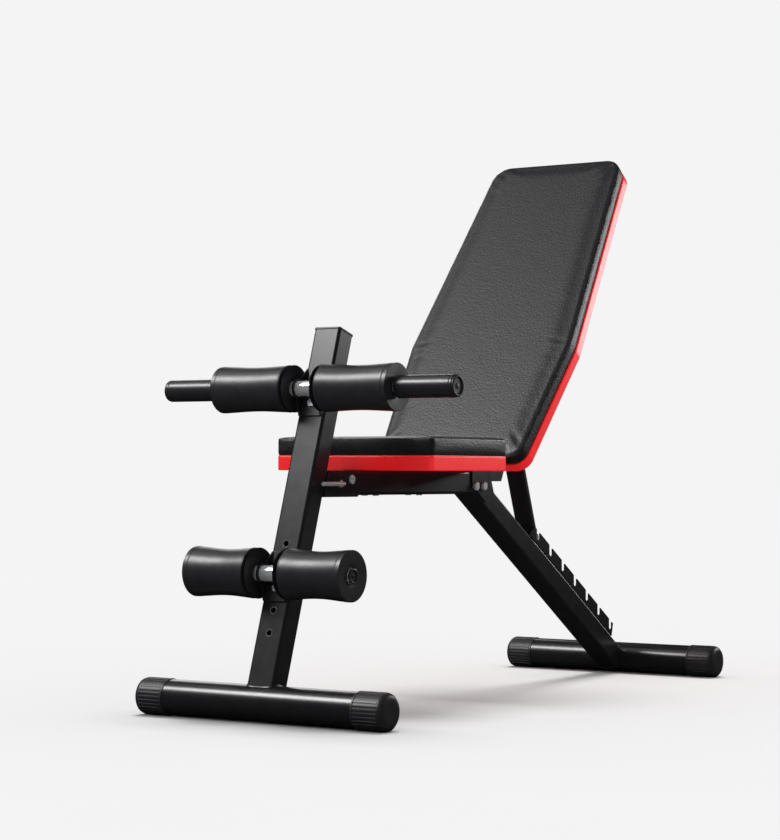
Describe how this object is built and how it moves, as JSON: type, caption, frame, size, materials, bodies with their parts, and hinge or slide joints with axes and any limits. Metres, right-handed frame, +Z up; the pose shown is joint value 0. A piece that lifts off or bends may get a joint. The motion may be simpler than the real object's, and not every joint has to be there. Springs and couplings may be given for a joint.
{
  "type": "decline sit up bench",
  "caption": "Folding sit-up bench with padded seat, reclining backrest on a notched rack, and foam leg rollers on a tilted front post.",
  "frame": {"origin": "on the floor, midway between the front and rear foot tubes, in the middle of the bench", "axes": "+Z up, +Y from the foam rollers to the rear foot, +X across the bench, to the side of the lock pin's handle"},
  "size_m": [0.56, 1.209, 0.9715],
  "materials": {
    "frame_powder_coat": "satin black powder coat",
    "black_plastic": "moulded, satin",
    "chrome": "bright plated",
    "zinc": "bright zinc plated",
    "black_vinyl": "fine grained vinyl",
    "red_vinyl": "smooth vinyl",
    "foam": "closed-cell foam skin, satin",
    "grip_rubber": "smooth rubber"
  },
  "bodies": {
    "base": {"main_beam": "frame_powder_coat", "rear_leg": "frame_powder_coat", "rear_foot_tube": "frame_powder_coat", "rear_foot_cap_right": "black_plastic", "rear_foot_cap_left": "black_plastic", "rack_plate_right": "frame_powder_coat", "rack_plate_left": "frame_powder_coat", "hinge_plate_right": "frame_powder_coat", "hinge_plate_left": "frame_powder_coat", "backrest_stop": "black_plastic", "leg_joint_bolts": "zinc", "leg_joint_nuts": "zinc", "backrest_pivot_bolt": "zinc", "backrest_pivot_nut": "zinc", "pivot_spacer_right": "black_plastic", "pivot_spacer_left": "black_plastic", "seat_board": "red_vinyl", "seat_cushion": "black_vinyl", "seat_screws": "zinc", "fold_bolt": "zinc", "fold_nut": "zinc"},
    "front_post_assembly": {"front_post": "frame_powder_coat", "post_top_cap": "black_plastic", "front_foot_tube": "frame_powder_coat", "front_foot_cap_right": "black_plastic", "front_foot_cap_left": "black_plastic", "post_hinge_channel": "frame_powder_coat", "upper_roller_bracket": "frame_powder_coat", "lower_roller_bracket": "frame_powder_coat", "roller_bracket_bolts": "zinc", "roller_bracket_nuts": "zinc", "upper_roller_axle": "chrome", "lower_roller_axle": "chrome", "upper_axle_plug_right": "black_plastic", "upper_axle_plug_left": "black_plastic", "lower_axle_plug_right": "black_plastic", "lower_axle_plug_left": "black_plastic", "hand_grip_right": "grip_rubber", "hand_grip_left": "grip_rubber"},
    "backrest": {"back_tube": "frame_powder_coat", "back_tube_cap": "black_plastic", "back_cross_plate_lower": "frame_powder_coat", "back_cross_plate_upper": "frame_powder_coat", "back_board": "red_vinyl", "back_cushion": "black_vinyl", "back_screws": "zinc", "strut_pivot_bolt": "zinc", "strut_pivot_nut": "zinc"},
    "strut": {"strut": "frame_powder_coat", "strut_foot_pin": "zinc"},
    "lock_pin": {"lock_pin": "chrome"},
    "upper_roller_right": {"upper_roller_right": "foam"},
    "upper_roller_left": {"upper_roller_left": "foam"},
    "lower_roller_right": {"lower_roller_right": "foam"},
    "lower_roller_left": {"lower_roller_left": "foam"}
  },
  "joints": [
    {"name": "backrest_recline", "type": "hinge", "parent": "base", "child": "backrest", "pos_m": [0, 0.0225, 0.405], "axis": [1, 0, 0], "range_deg": [-65, 0]},
    {"name": "strut_swing", "type": "hinge", "parent": "backrest", "child": "strut", "pos_m": [0, 0.13256, 0.55987], "axis": [1, 0, 0], "range_deg": [0, 89.6]},
    {"name": "post_fold", "type": "hinge", "parent": "base", "child": "front_post_assembly", "pos_m": [0, -0.3747, 0.3755], "axis": [1, 0, 0], "range_deg": [0, 107.7]},
    {"name": "lock_pin_pull", "type": "slide", "parent": "front_post_assembly", "child": "lock_pin", "axis": [1, 0, 0], "range_m": [0, 0.062]},
    {"name": "upper_roller_right_spin", "type": "hinge", "parent": "front_post_assembly", "child": "upper_roller_right", "pos_m": [0, -0.45834, 0.52001], "axis": [1, 0, 0], "continuous": true},
    {"name": "upper_roller_left_spin", "type": "hinge", "parent": "front_post_assembly", "child": "upper_roller_left", "pos_m": [0, -0.45834, 0.52001], "axis": [1, 0, 0], "continuous": true},
    {"name": "lower_roller_right_spin", "type": "hinge", "parent": "front_post_assembly", "child": "lower_roller_right", "pos_m": [0, -0.5511, 0.22935], "axis": [1, 0, 0], "continuous": true},
    {"name": "lower_roller_left_spin", "type": "hinge", "parent": "front_post_assembly", "child": "lower_roller_left", "pos_m": [0, -0.5511, 0.22935], "axis": [1, 0, 0], "continuous": true}
  ],
  "couplings": [
    {"joint": "strut_swing", "follows": "backrest_recline", "ratio": -1.3757}
  ]
}
